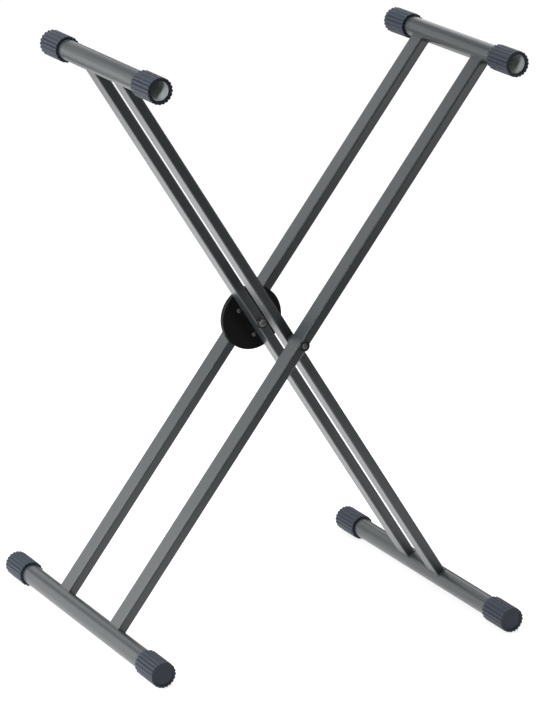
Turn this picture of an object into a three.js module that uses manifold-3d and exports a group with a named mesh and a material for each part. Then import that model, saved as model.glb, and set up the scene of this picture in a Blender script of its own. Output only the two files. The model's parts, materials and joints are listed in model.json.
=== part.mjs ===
// Folding keyboard stand with two crossed steel frames.
//
// Millimetres, +Z up. The four cross tubes run along Y and the legs cross in the XZ plane. The origin is on
// the floor under the middle of the stand. The outer frame leans to +X at its top and the inner frame to -X.
// Both are drawn upright, with the pivot at their middle, and are then tilted about it. The front bolt and
// the clutch bolt share the pivot axis, which runs along Y.

import * as THREE from 'three';
import { mergeVertices } from 'three/addons/utils/BufferGeometryUtils.js';
import Module from 'manifold-3d';

const wasm = await Module();
wasm.setup();

// ---------------------------------------------------------------------------------------------------------
// Driving dimensions
// ---------------------------------------------------------------------------------------------------------

// Frames
const legSpan = 1000; // between the axes of a frame's two cross tubes
const frameTilt = 35; // of each frame from the vertical, in degrees
const outerLegPitch = 168; // between the middles of the outer frame's two legs
const topWidth = 349; // over the two sleeves of a top tube
const bottomWidth = 500; // over the two caps of a bottom tube
const innerTopShift = 9; // how far the inner frame's top tube sits towards the front
const seatGap = 0.3; // between parts that are clamped together

// Round cross tubes
const tubeDiameter = 30;
const tubeWall = 1.5;

// Rectangular legs, deep along Y
const legDepth = 30;
const legWidth = 15;
const legWall = 1.5;
const legCorner = 3;
const leastCorner = 0.3; // of the bore, where the wall is as thick as the corner is round
const weldGap = 0.3; // left between a leg's saddle cut and its cross tube

// Ribbed rubber ends
const capLength = 54;
const capWall = 2.35; // under the ribs
const ribCount = 20;
const ribHeight = 1.6;
const ribCrestShare = 0.5; // of the rib spacing, flat on top
const sleeveLip = 3; // thickness of a sleeve's end ring
const sleeveLipReach = 1; // how far that ring covers the tube's end
const capEndWall = 4.5; // thickness of a closed cap's end
const capRimWidth = 3; // round the dish in that end
const capDishDepth = 0.8;
const capClearance = 0.3; // round the tube and against its end

// Pivot bolts: a thick one through the clutch and a thinner one in front
const clutchBoltDiameter = 8;
const frontBoltDiameter = 6;
const boltClearance = 0.3; // round the shank
const boltTail = 1.5; // past the lock nut
const threadClearance = 0.2; // between a thread and its nut
const headOverhangShare = 0.3; // of the bolt's diameter, past the shank
const headHeightShare = 0.575; // of the bolt's diameter
const headFlat = 2; // across the flat in the middle of the dome
const cupWasherBase = 1.2;
const cupRimRoom = 1; // round the clutch bolt's head
const cupRimWall = 1.1;
const cupRimEdge = 0.6; // thickness at the rim's edge
const cupRimHeight = 2.6;
const nutFlatShare = 1.625; // width across the flats, of the bolt's diameter
const nutHeight = 6;
const flatWasherBand = 3; // round the bolt
const flatWasherThickness = 1.6;
const spacerWall = 3; // round the bolt

// Clutch
const panDiameter = 98;
const panPlate = 1.8;
const panRimWall = 2.2;
const panEdgeChamfer = 1.2;
const clutchSeam = 0.4; // between the rims, and between the tips of the teeth
const ringBase = 1;
const ringRoom = 2.8; // between the toothed ring and the rim
const toothCount = 36;
const toothHeight = 0.9;
const toothLength = 12.8;
const toothRootWidth = 2.6;
const toothTipWidth = 1;
const rivetHeadDiameter = 7;
const rivetHeadHeight = 1.4;
const rivetShankDiameter = 4;
const rivetClearance = 0.15;
const rivetToLeg = 0.5;
const rivetToTeeth = 2.7;
const springWire = 1;
const springTurns = 2;
const springRoom = 3.5; // inside and outside the spring
const springEndRoom = 0.3; // between the spring and each clutch half

// Clamping knob
const thrustWasherBand = 9; // round the bolt
const thrustWasherThickness = 2;
const knobDiameter = 32; // over the lobes
const knobLobes = 6;
const knobLobeDepth = 3;
const knobHeight = 19;
const knobRoof = 3.8; // over the insert
const knobEdge = 1.5;
const insertClearance = 0.2; // round the insert, in the knob
const insertPastBolt = 1.5;

// Sides of a turned piece
const ROUND = 36;
const SMALL = 20;
const TINY = 12;
const DOME_STEPS = 3;

// ---------------------------------------------------------------------------------------------------------
// Sizes that follow
// ---------------------------------------------------------------------------------------------------------

const tilt = THREE.MathUtils.degToRad(frameTilt);
const halfSpan = legSpan / 2;

const tubeRadius = tubeDiameter / 2;
const capBore = tubeRadius + capClearance;
const capRadius = capBore + capWall + ribHeight;
const ribStep = (2 * Math.PI) / ribCount;
const ribHalfCrest = (ribStep * ribCrestShare) / 2;
const crestDistance = capRadius * Math.cos(ribHalfCrest); // from the axis to the flat of a rib
const pivotHeight = halfSpan * Math.cos(tilt) + crestDistance;

// A bolt, with the hole, the thread and the nut that belong to it
function boltSizes(diameter) {
  return {
    radius: diameter / 2,
    hole: diameter / 2 + boltClearance,
    thread: diameter / 2 + threadClearance,
    headRadius: diameter * (0.5 + headOverhangShare),
    headHeight: diameter * headHeightShare,
    nutFlats: diameter * nutFlatShare,
  };
}

const clutchBolt = boltSizes(clutchBoltDiameter);
const frontBolt = boltSizes(frontBoltDiameter);
const cupWasherRadius = clutchBolt.headRadius + cupRimRoom + cupRimWall; // alike on both bolts

// Clutch depths, from the face of the leg that a half is riveted to
const panBack = seatGap + panPlate;
const ringBack = panBack + seatGap + ringBase;
const halfClutch = ringBack + toothHeight;
const clutchGap = 2 * halfClutch + clutchSeam; // between an inner leg and the outer leg beside it

const ringRadius = panDiameter / 2 - panRimWall - ringRoom;
const toothInner = ringRadius - seatGap - toothLength;
const springRadius = clutchBolt.radius + springRoom + springWire / 2;
const ringBore = springRadius + springWire / 2 + springRoom;
const springPitch = (clutchGap - 2 * panBack - springWire - 2 * springEndRoom) / springTurns;

// Rivets stand beside the leg and just inside the teeth
const rivetAcross = legWidth / 2 + rivetToLeg + rivetHeadDiameter / 2;
const rivetCircle = toothInner - rivetToTeeth - rivetShankDiameter / 2;
const rivetAlong = Math.sqrt(rivetCircle ** 2 - rivetAcross ** 2);

const outerLegY = outerLegPitch / 2;
const innerLegY = outerLegY - legDepth - clutchGap;
const outerLegFace = outerLegY + legDepth / 2;
const innerLegFace = innerLegY - legDepth / 2;
const clutchMiddle = innerLegY + (legDepth + clutchGap) / 2;

const insertLength = knobHeight - knobRoof - insertClearance;

// ---------------------------------------------------------------------------------------------------------
// Materials
// ---------------------------------------------------------------------------------------------------------

const frameSteel = { color: 0x4a4d4e, roughness: 0.38, metalness: 0.55 };
const ribbedRubber = { color: 0x343a46, roughness: 0.72, metalness: 0 };
const clutchBlack = { color: 0x15171a, roughness: 0.5, metalness: 0.1 };
const gearSteel = { color: 0x6d7072, roughness: 0.42, metalness: 0.9 };
const darkSteel = { color: 0x3b4043, roughness: 0.34, metalness: 0.85 };
const springSteel = { color: 0x8b8e90, roughness: 0.3, metalness: 1 };
const knobPlastic = { color: 0x17181a, roughness: 0.55, metalness: 0 };

// ---------------------------------------------------------------------------------------------------------
// From three.js geometry to a solid and back
// ---------------------------------------------------------------------------------------------------------

function solid(geometry) {
  const bare = geometry.clone();
  bare.deleteAttribute('normal');
  bare.deleteAttribute('uv');
  const merged = mergeVertices(bare, 1e-4);
  return new wasm.Manifold(new wasm.Mesh({
    numProp: 3,
    vertProperties: new Float32Array(merged.attributes.position.array),
    triVerts: new Uint32Array(merged.index.array),
  }));
}

function piece(name, body, finish) {
  const { vertProperties, triVerts } = body.getMesh();
  const shared = new THREE.BufferGeometry();
  shared.setAttribute('position', new THREE.BufferAttribute(new Float32Array(vertProperties), 3));
  shared.setIndex(new THREE.BufferAttribute(new Uint32Array(triVerts), 1));
  const geometry = shared.toNonIndexed();
  geometry.computeVertexNormals();
  const mesh = new THREE.Mesh(geometry, new THREE.MeshStandardMaterial(finish));
  mesh.name = name;
  return mesh;
}

// ---------------------------------------------------------------------------------------------------------
// Shapes along the Y axis
// ---------------------------------------------------------------------------------------------------------

// A closed outline of [radius, y] points turned about the axis, its low-y face first.
function turned(outline, sides) {
  const points = [...outline, outline[0]].map(([radius, y]) => new THREE.Vector2(radius, y));
  return solid(new THREE.LatheGeometry(points, sides));
}

function ring(outer, inner, low, high, sides) {
  return turned([[inner, low], [outer, low], [outer, high], [inner, high]], sides);
}

// A bar to cut a round hole with.
function rod(radius, low, high, sides, x = 0, z = 0) {
  const bar = new THREE.CylinderGeometry(radius, radius, high - low, sides);
  bar.translate(x, (low + high) / 2, z);
  return solid(bar);
}

function shapeOf(points) {
  return new THREE.Shape(points.map(([x, y]) => new THREE.Vector2(x, y)));
}

// An outline of [x, z] points, extruded from low to high.
function prism(outline, low, high) {
  const bar = new THREE.ExtrudeGeometry(shapeOf(outline), { depth: high - low, bevelEnabled: false });
  bar.rotateX(Math.PI / 2);
  bar.translate(0, high, 0);
  return solid(bar);
}

function onCircle(radius, angle) {
  return [radius * Math.cos(angle), radius * Math.sin(angle)];
}

function hexagon(flats) {
  const corner = flats / Math.sqrt(3);
  return [0, 1, 2, 3, 4, 5].map((side) => onCircle(corner, (side * Math.PI) / 3));
}

// The top of a domed head, from the edge of its flat middle down to its seat at y = 0.
function dome(flatRadius, seatRadius, height) {
  const points = [];
  for (let step = 0; step <= DOME_STEPS; step += 1) {
    const angle = (step / DOME_STEPS) * (Math.PI / 2);
    points.push([flatRadius + (seatRadius - flatRadius) * Math.sin(angle), -height * Math.cos(angle)]);
  }
  return points;
}

// ---------------------------------------------------------------------------------------------------------
// Cross tubes and legs, in an upright frame's own place
// ---------------------------------------------------------------------------------------------------------

function crossTube(name, z, middleY, width, endWall) {
  const half = width / 2 - endWall - capClearance;
  const mesh = piece(name, ring(tubeRadius, tubeRadius - tubeWall, -half, half, ROUND), frameSteel);
  mesh.position.set(0, middleY, z);
  return mesh;
}

function roundedRectangle(path, width, depth, corner) {
  const x = width / 2 - corner;
  const y = depth / 2 - corner;
  const quarter = Math.PI / 2;
  path.absarc(x, -y, corner, -quarter, 0);
  path.absarc(x, y, corner, 0, quarter);
  path.absarc(-x, y, corner, quarter, 2 * quarter);
  path.absarc(-x, -y, corner, 2 * quarter, 3 * quarter);
  path.closePath();
  return path;
}

function leg(name, middleY, boltHole) {
  const section = roundedRectangle(new THREE.Shape(), legWidth, legDepth, legCorner);
  const boreCorner = Math.max(legCorner - legWall, leastCorner);
  section.holes.push(
    roundedRectangle(new THREE.Path(), legWidth - 2 * legWall, legDepth - 2 * legWall, boreCorner));
  const bar = new THREE.ExtrudeGeometry(section, { depth: legSpan, bevelEnabled: false, curveSegments: 3 });
  bar.translate(0, 0, -halfSpan);
  const saddle = tubeRadius + weldGap;
  const body = solid(bar)
    .subtract(rod(saddle, -legDepth, legDepth, ROUND, 0, halfSpan))
    .subtract(rod(saddle, -legDepth, legDepth, ROUND, 0, -halfSpan))
    .subtract(rod(boltHole, -legDepth, legDepth, SMALL));
  const mesh = piece(name, body, frameSteel);
  mesh.position.set(0, middleY, 0);
  return mesh;
}

// ---------------------------------------------------------------------------------------------------------
// Ribbed ends. Each is drawn for the front end of a tube, with its outer face at y = 0 and its mouth at
// y = capLength, and is turned half round for the rear end.
// ---------------------------------------------------------------------------------------------------------

function ribbedOutline(crestAngle) {
  const points = [];
  for (let rib = 0; rib < ribCount; rib += 1) {
    const middle = crestAngle + rib * ribStep;
    points.push(onCircle(capRadius, middle - ribHalfCrest));
    points.push(onCircle(capRadius, middle + ribHalfCrest));
    points.push(onCircle(capRadius - ribHeight, middle + ribStep / 2));
  }
  return points;
}

function ribbedEnd(name, crestAngle, endY, z, atRear, hollows) {
  const ribbed = prism(ribbedOutline(atRear ? Math.PI - crestAngle : crestAngle), 0, capLength);
  const body = hollows.reduce((rest, hollow) => rest.subtract(hollow), ribbed);
  const mesh = piece(name, body, ribbedRubber);
  mesh.position.set(0, endY, z);
  mesh.rotation.z = atRear ? Math.PI : 0;
  return mesh;
}

// An open sleeve: the tube's bore shows through its end ring.
function sleeveHollows() {
  return [
    rod(capBore, sleeveLip, 2 * capLength, ROUND),
    rod(tubeRadius - sleeveLipReach, -sleeveLip, 2 * sleeveLip, ROUND),
  ];
}

// A closed cap with a shallow dish in its end.
function capHollows() {
  return [
    rod(capBore, capEndWall, 2 * capLength, ROUND),
    rod(capRadius - ribHeight - capRimWidth, -capEndWall, capDishDepth, ROUND),
  ];
}

// ---------------------------------------------------------------------------------------------------------
// Clutch halves. y = 0 is the face of the leg that carries the half, and +y points to the other half.
// ---------------------------------------------------------------------------------------------------------

function rivetPlaces() {
  return [[-1, -1], [-1, 1], [1, -1], [1, 1]].map(([x, z]) => [x * rivetAcross, z * rivetAlong]);
}

function withRivetHoles(body) {
  const hole = rivetShankDiameter / 2 + rivetClearance;
  return rivetPlaces().reduce(
    (drilled, [x, z]) => drilled.subtract(rod(hole, -clutchGap, clutchGap, TINY, x, z)), body);
}

function clutchPan() {
  const outer = panDiameter / 2;
  return withRivetHoles(turned([
    [clutchBolt.hole, seatGap],
    [outer - panEdgeChamfer, seatGap],
    [outer, seatGap + panEdgeChamfer],
    [outer, halfClutch],
    [outer - panRimWall, halfClutch],
    [outer - panRimWall, panBack],
    [clutchBolt.hole, panBack],
  ], ROUND));
}

// Radial teeth stand on a flat ring. The seam keeps their tips clear of the other half's.
function toothedRing() {
  const base = ring(ringRadius, ringBore, ringBack - ringBase, ringBack, ROUND);
  const section = shapeOf([
    [-toothRootWidth / 2, ringBack - ringBase / 2],
    [toothRootWidth / 2, ringBack - ringBase / 2],
    [toothTipWidth / 2, halfClutch],
    [-toothTipWidth / 2, halfClutch],
  ]);
  let body = base;
  for (let tooth = 0; tooth < toothCount; tooth += 1) {
    const bar = new THREE.ExtrudeGeometry(section, { depth: toothLength, bevelEnabled: false });
    bar.translate(0, 0, toothInner);
    bar.rotateY(((tooth + 0.5) * 2 * Math.PI) / toothCount);
    body = body.add(solid(bar));
  }
  return withRivetHoles(body);
}

function rivet() {
  const shank = rivetShankDiameter / 2;
  return turned([
    ...dome(0, rivetHeadDiameter / 2, rivetHeadHeight),
    [shank, 0],
    [shank, ringBack],
    [0, ringBack],
  ], TINY);
}

// facing is +1 where the other half lies towards +Y, and -1 where it lies towards -Y.
function clutchHalf(frameName, legY, facing) {
  const group = new THREE.Group();
  group.position.y = legY + (facing * legDepth) / 2;
  group.rotation.z = facing > 0 ? 0 : Math.PI;
  group.add(piece(`${frameName}_clutch_pan`, clutchPan(), clutchBlack));
  group.add(piece(`${frameName}_toothed_ring`, toothedRing(), gearSteel));
  rivetPlaces().forEach(([x, z], index) => {
    const mesh = piece(`${frameName}_clutch_rivet_${index + 1}`, rivet(), darkSteel);
    mesh.position.set(x, 0, z);
    group.add(mesh);
  });
  return group;
}

// ---------------------------------------------------------------------------------------------------------
// One frame: two cross tubes, two legs, two sleeves on top, two caps below and its half of the clutch
// ---------------------------------------------------------------------------------------------------------

function frame(name, lean, legY, topShift, clutchFacing) {
  const group = new THREE.Group();
  group.position.z = pivotHeight;
  group.rotation.y = lean;

  group.add(crossTube(`${name}_top_tube`, halfSpan, -topShift, topWidth, sleeveLip));
  group.add(crossTube(`${name}_bottom_tube`, -halfSpan, 0, bottomWidth, capEndWall));
  group.add(leg(`${name}_front_leg`, -legY, frontBolt.hole));
  group.add(leg(`${name}_rear_leg`, legY, clutchBolt.hole));

  // The flat of a rib faces straight up on each sleeve, and straight down on each cap.
  const up = Math.PI / 2 + lean;
  const down = up + Math.PI;
  [[-1, 'front'], [1, 'rear']].forEach(([side, place]) => {
    const topEnd = (side * topWidth) / 2 - topShift;
    const bottomEnd = (side * bottomWidth) / 2;
    group.add(ribbedEnd(`${name}_top_${place}_sleeve`, up, topEnd, halfSpan, side > 0, sleeveHollows()));
    group.add(ribbedEnd(`${name}_bottom_${place}_cap`, down, bottomEnd, -halfSpan, side > 0, capHollows()));
  });

  group.add(clutchHalf(name, legY, clutchFacing));
  return group;
}

// ---------------------------------------------------------------------------------------------------------
// Pivot hardware, along the pivot axis. A bolt's head points to the front.
// ---------------------------------------------------------------------------------------------------------

function cupWasher(bolt) {
  const rimFoot = cupWasherRadius - cupRimWall;
  return turned([
    [bolt.hole, -cupWasherBase],
    [rimFoot, -cupWasherBase],
    [rimFoot, -cupRimHeight],
    [rimFoot + cupRimEdge, -cupRimHeight],
    [cupWasherRadius, -cupWasherBase],
    [cupWasherRadius, 0],
    [bolt.hole, 0],
  ], SMALL);
}

// A plain domed head. Its seat is at y = 0 and the shank runs to y = length.
function domedBolt(bolt, length) {
  return turned([
    [0, -bolt.headHeight],
    ...dome(headFlat / 2, bolt.headRadius, bolt.headHeight),
    [bolt.radius, 0],
    [bolt.radius, length],
    [0, length],
  ], SMALL);
}

function hexagonNut(bolt, height) {
  return prism(hexagon(bolt.nutFlats), 0, height).subtract(rod(bolt.thread, -height, 2 * height, SMALL));
}

function flatWasher(bolt, band, thickness) {
  return ring(bolt.radius + band, bolt.hole, 0, thickness, SMALL);
}

function at(y, mesh) {
  mesh.position.y = y;
  return mesh;
}

// A cup washer and a bolt on a leg's front face, with the bolt's tail at tailY.
function boltThrough(name, bolt, faceY, tailY) {
  const group = new THREE.Group();
  const headSeat = faceY - seatGap - cupWasherBase - seatGap;
  group.add(at(faceY - seatGap, piece(`${name}_cup_washer`, cupWasher(bolt), darkSteel)));
  group.add(at(headSeat, piece(`${name}_bolt`, domedBolt(bolt, tailY - headSeat), darkSteel)));
  return group;
}

function frontPivot() {
  const spacerFront = -outerLegY + legDepth / 2 + seatGap;
  const spacerBack = -innerLegY - legDepth / 2 - seatGap;
  const washerY = -innerLegFace + seatGap;
  const nutY = washerY + flatWasherThickness + seatGap;
  const spacer = flatWasher(frontBolt, spacerWall, spacerBack - spacerFront);
  const washer = flatWasher(frontBolt, flatWasherBand, flatWasherThickness);
  const group = new THREE.Group();
  group.add(boltThrough('front', frontBolt, -outerLegFace, nutY + nutHeight + boltTail));
  group.add(at(spacerFront, piece('front_spacer', spacer, darkSteel)));
  group.add(at(washerY, piece('front_washer', washer, darkSteel)));
  group.add(at(nutY, piece('front_lock_nut', hexagonNut(frontBolt, nutHeight), darkSteel)));
  return group;
}

// The line of the release spring, which lies round the bolt between the two pans.
class Coil extends THREE.Curve {
  getPoint(share) {
    const turns = share * springTurns;
    const [x, z] = onCircle(springRadius, turns * 2 * Math.PI);
    return new THREE.Vector3(x, (turns - springTurns / 2) * springPitch, z);
  }
}

function releaseSpring() {
  const wire = new THREE.Shape();
  wire.absarc(0, 0, springWire / 2, 0, 2 * Math.PI);
  return solid(new THREE.ExtrudeGeometry(wire, {
    extrudePath: new Coil(), steps: springTurns * TINY, curveSegments: 6, bevelEnabled: false,
  }));
}

// The knob has a hexagon pocket, open towards the leg, for its threaded insert.
function knobBody() {
  const sides = knobLobes * 8;
  const lobes = [];
  for (let side = 0; side < sides; side += 1) {
    const angle = (side * 2 * Math.PI) / sides;
    const dip = (knobLobeDepth / 2) * (1 - Math.cos(knobLobes * angle));
    lobes.push(onCircle(knobDiameter / 2 - knobEdge - dip, angle));
  }
  const body = new THREE.ExtrudeGeometry(shapeOf(lobes), {
    depth: knobHeight - 2 * knobEdge, bevelThickness: knobEdge, bevelSize: knobEdge, bevelSegments: 2,
  });
  body.rotateX(Math.PI / 2);
  body.translate(0, knobHeight - knobEdge, 0);
  const pocket = prism(hexagon(clutchBolt.nutFlats + 2 * insertClearance), -knobEdge, knobHeight - knobRoof);
  return solid(body).subtract(pocket);
}

function clutchPivot() {
  const washerY = outerLegFace + seatGap;
  const knobY = washerY + thrustWasherThickness + seatGap;
  const washer = flatWasher(clutchBolt, thrustWasherBand, thrustWasherThickness);
  const group = new THREE.Group();
  group.add(boltThrough('clutch', clutchBolt, innerLegFace, knobY + insertLength - insertPastBolt));
  group.add(at(clutchMiddle, piece('clutch_spring', releaseSpring(), springSteel)));
  group.add(at(washerY, piece('thrust_washer', washer, darkSteel)));
  group.add(at(knobY, piece('clamping_knob', knobBody(), knobPlastic)));
  group.add(at(knobY, piece('knob_insert', hexagonNut(clutchBolt, insertLength), gearSteel)));
  return group;
}

// ---------------------------------------------------------------------------------------------------------
// The stand
// ---------------------------------------------------------------------------------------------------------

const pivot = new THREE.Group();
pivot.position.z = pivotHeight;
pivot.rotation.y = tilt;
pivot.add(frontPivot());
pivot.add(clutchPivot());

const stand = new THREE.Group();
stand.add(frame('outer', tilt, outerLegY, 0, -1));
stand.add(frame('inner', -tilt, innerLegY, innerTopShift, 1));
stand.add(pivot);

export default stand;
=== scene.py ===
import json
from math import atan2, cos, pi, radians, sin, sqrt, tan

import bmesh
import bpy
from mathutils import Matrix, Vector


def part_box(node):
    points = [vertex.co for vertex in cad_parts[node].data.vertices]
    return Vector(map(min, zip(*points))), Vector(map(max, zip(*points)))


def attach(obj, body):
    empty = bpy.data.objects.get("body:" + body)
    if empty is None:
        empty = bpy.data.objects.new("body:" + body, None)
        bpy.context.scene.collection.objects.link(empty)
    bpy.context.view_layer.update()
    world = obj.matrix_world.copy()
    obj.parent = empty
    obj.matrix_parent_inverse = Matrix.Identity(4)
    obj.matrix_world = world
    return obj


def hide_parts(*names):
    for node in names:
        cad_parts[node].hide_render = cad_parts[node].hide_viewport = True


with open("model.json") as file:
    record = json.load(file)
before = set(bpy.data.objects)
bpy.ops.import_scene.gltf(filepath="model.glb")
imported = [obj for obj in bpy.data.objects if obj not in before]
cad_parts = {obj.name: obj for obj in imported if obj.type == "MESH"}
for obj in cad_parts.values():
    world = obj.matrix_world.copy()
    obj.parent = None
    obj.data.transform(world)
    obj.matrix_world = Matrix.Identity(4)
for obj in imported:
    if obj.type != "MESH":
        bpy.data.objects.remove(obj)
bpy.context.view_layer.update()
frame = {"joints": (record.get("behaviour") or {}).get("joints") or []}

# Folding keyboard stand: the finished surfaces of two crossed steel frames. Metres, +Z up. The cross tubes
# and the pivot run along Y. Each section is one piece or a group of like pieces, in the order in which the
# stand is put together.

scene = bpy.context.scene


# ---- Camera -----------------------------------------------------------------------------------------------
# The photograph was taken from the front left and a little above, with a long lens. The camera was turned
# about its own axis by two degrees.

camera_azimuth = radians(-28.838)
camera_elevation = radians(16.356)
camera_roll = radians(2.335)
camera_distance = 5.1853
camera_aim = Vector((0.03655, 0.06709, 0.35756))
film_width = 36.0  # mm, along the picture's long side
focal_length = 173.95  # mm

towards_camera = Vector((
    sin(camera_azimuth) * cos(camera_elevation),
    -cos(camera_azimuth) * cos(camera_elevation),
    sin(camera_elevation),
))
camera_data = bpy.data.cameras.new("camera")
camera_data.sensor_width = film_width
camera_data.lens = focal_length
camera_data.clip_end = 60.0
camera = bpy.data.objects.new("camera", camera_data)
camera.matrix_world = (
    Matrix.Translation(camera_aim + towards_camera * camera_distance)
    @ towards_camera.to_track_quat("Z", "Y").to_matrix().to_4x4()
    @ Matrix.Rotation(camera_roll, 4, "Z")
)
scene.collection.objects.link(camera)
scene.camera = camera
scene.view_settings.view_transform = "Standard"


# ---- Cross tubes ------------------------------------------------------------------------------------------
# Four lengths of round steel tube, 30 mm across with a 1.5 mm wall, cut square. They are welded across the
# ends of the legs, and each frame is then powder coated as a whole. Their bores stay bare.

tube_radius = 0.015
tube_wall = 0.0015
tube_sides = 96
tube_edge = 0.0003
bore_share = 0.6  # of the wall: what lies deeper than this belongs to the bare bore
edge_gain = 8.0  # how quickly a turned normal counts as a rubbed edge

fold = next(joint for joint in frame["joints"] if joint["name"] == "fold")
pivot = Vector(fold["pos_m"])


def middle(node_name):
    low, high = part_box(node_name)
    return (low + high) / 2


def softened(outline, edge, steps=3):
    """The outline with its corners rounded over the length edge, or over a corner's own third number.
    Corners on the axis stay sharp."""
    longest = 0.45  # as a share of a side, so that two corners never meet
    rounded = []
    for before, corner, after in zip(outline[-1:] + outline[:-1], outline, outline[1:] + outline[:1]):
        reach = corner[2] if len(corner) > 2 else edge
        before, corner, after = (Vector(point[:2]) for point in (before, corner, after))
        if corner.x == 0:
            rounded.append(corner)
            continue
        back, on = before - corner, after - corner
        start = corner + back * min(reach / back.length, longest)
        end = corner + on * min(reach / on.length, longest)
        for step in range(steps + 1):
            share = step / steps
            rounded.append(start * (1 - share) ** 2 + corner * 2 * share * (1 - share) + end * share ** 2)
    return [(point.x, point.y) for point in rounded]


def turned(outline, sides, relief=None):
    """A closed outline of (radius, y) points turned about the Y axis. relief(y, angle) lowers a point."""
    shape = bmesh.new()
    rings = []
    for radius, y in outline:
        ring = []
        for side in range(sides if radius else 1):
            angle = side * 2 * pi / sides
            here = radius - (relief(y, angle) if relief and radius else 0)
            ring.append(shape.verts.new((here * sin(angle), y, here * cos(angle))))
        rings.append(ring)
    for first, second in zip(rings, rings[1:] + rings[:1]):
        for side in range(sides if len(first) + len(second) > 2 else 0):
            after = (side + 1) % sides
            corners = (first[side % len(first)], first[after % len(first)],
                       second[after % len(second)], second[side % len(second)])
            shape.faces.new(list(dict.fromkeys(corners)))
    bmesh.ops.recalc_face_normals(shape, faces=shape.faces)
    return shape


def made_object(name, shape):
    mesh = bpy.data.meshes.new(name)
    shape.to_mesh(mesh)
    shape.free()
    piece = bpy.data.objects.new(name, mesh)
    scene.collection.objects.link(piece)
    return piece


def as_plain_mesh(piece):
    """Turns the piece and its modifiers into one plain mesh."""
    evaluated = piece.evaluated_get(bpy.context.evaluated_depsgraph_get())
    piece.data, used = bpy.data.meshes.new_from_object(evaluated), piece.data
    bpy.data.meshes.remove(used)
    piece.modifiers.clear()


def fitted(piece, place, material, body, slot, *nodes, crisp=radians(40)):
    """Shades a finished shape, moves it to its place and fixes it to its body."""
    if piece.modifiers:
        as_plain_mesh(piece)
    piece.data.transform(place)
    piece.data.shade_smooth()
    piece.data.set_sharp_from_angle(angle=crisp)
    piece.modifiers.new("even normals", "WEIGHTED_NORMAL").keep_sharp = True
    as_plain_mesh(piece)
    piece.data.materials.clear()
    piece.data.materials.append(material)
    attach(piece, body)
    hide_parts(*nodes)


def node(tree, kind, inputs=None, **settings):
    """A new node. inputs holds a value or a socket for each input's name or number."""
    made = tree.nodes.new(kind)
    for setting, value in settings.items():
        setattr(made, setting, value)
    for key, value in (inputs or {}).items():
        if isinstance(value, bpy.types.NodeSocket):
            tree.links.new(value, made.inputs[key])
        else:
            made.inputs[key].default_value = value
    return made


def new_group(name, kind, inputs, outputs):
    """A node group with named sockets, and the nodes that stand for its inputs and outputs."""
    group = bpy.data.node_groups.new(name, kind)
    for label, (socket_kind, value) in inputs.items():
        socket = group.interface.new_socket(label, in_out="INPUT", socket_type="NodeSocket" + socket_kind)
        if value is not None:
            socket.default_value = value
    for label, socket_kind in outputs.items():
        group.interface.new_socket(label, in_out="OUTPUT", socket_type="NodeSocket" + socket_kind)
    return group, group.nodes.new("NodeGroupInput"), group.nodes.new("NodeGroupOutput")


def link_out(group, output, values):
    for label, socket in values.items():
        group.links.new(socket, output.inputs[label])


def fine_grain_group():
    """Fine grain and broad drifts of a finish: its colour, its roughness and a height."""
    group, given, output = new_group("fine grain", "ShaderNodeTree", {
        "Colour": ("Color", (0.1, 0.1, 0.1, 1)),
        "Colour Spread": ("Float", 0.1),
        "Roughness": ("Float", 0.4),
        "Roughness Spread": ("Float", 0.1),
        "Grain Size": ("Float", 0.001),
        "Drift Size": ("Float", 0.08),
    }, {"Colour": "Color", "Roughness": "Float", "Height": "Float"})
    place = node(group, "ShaderNodeTexCoord").outputs["Object"]
    grain_scale = node(group, "ShaderNodeMath",
                       {0: 1.0, 1: given.outputs["Grain Size"]}, operation="DIVIDE")
    drift_scale = node(group, "ShaderNodeMath",
                       {0: 1.0, 1: given.outputs["Drift Size"]}, operation="DIVIDE")
    grain = node(group, "ShaderNodeTexNoise",
                 {"Vector": place, "Scale": grain_scale.outputs[0], "Detail": 2.0, "Roughness": 0.6})
    drift = node(group, "ShaderNodeTexNoise",
                 {"Vector": place, "Scale": drift_scale.outputs[0], "Detail": 3.0, "Roughness": 0.55})
    both = node(group, "ShaderNodeMath", {0: grain.outputs["Fac"], 1: drift.outputs["Fac"]}, operation="ADD")
    around = node(group, "ShaderNodeMath", {0: both.outputs[0], 1: 1.0}, operation="SUBTRACT")
    shade = node(group, "ShaderNodeMath",
                 {0: around.outputs[0], 1: given.outputs["Colour Spread"], 2: 1.0}, operation="MULTIPLY_ADD")
    tone = node(group, "ShaderNodeVectorMath",
                {"Vector": given.outputs["Colour"], "Scale": shade.outputs[0]}, operation="SCALE")
    gloss = node(group, "ShaderNodeMath",
                 {0: around.outputs[0], 1: given.outputs["Roughness Spread"], 2: given.outputs["Roughness"]},
                 operation="MULTIPLY_ADD")
    link_out(group, output, {"Colour": tone.outputs[0], "Roughness": gloss.outputs[0],
                             "Height": grain.outputs["Fac"]})
    return group


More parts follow.
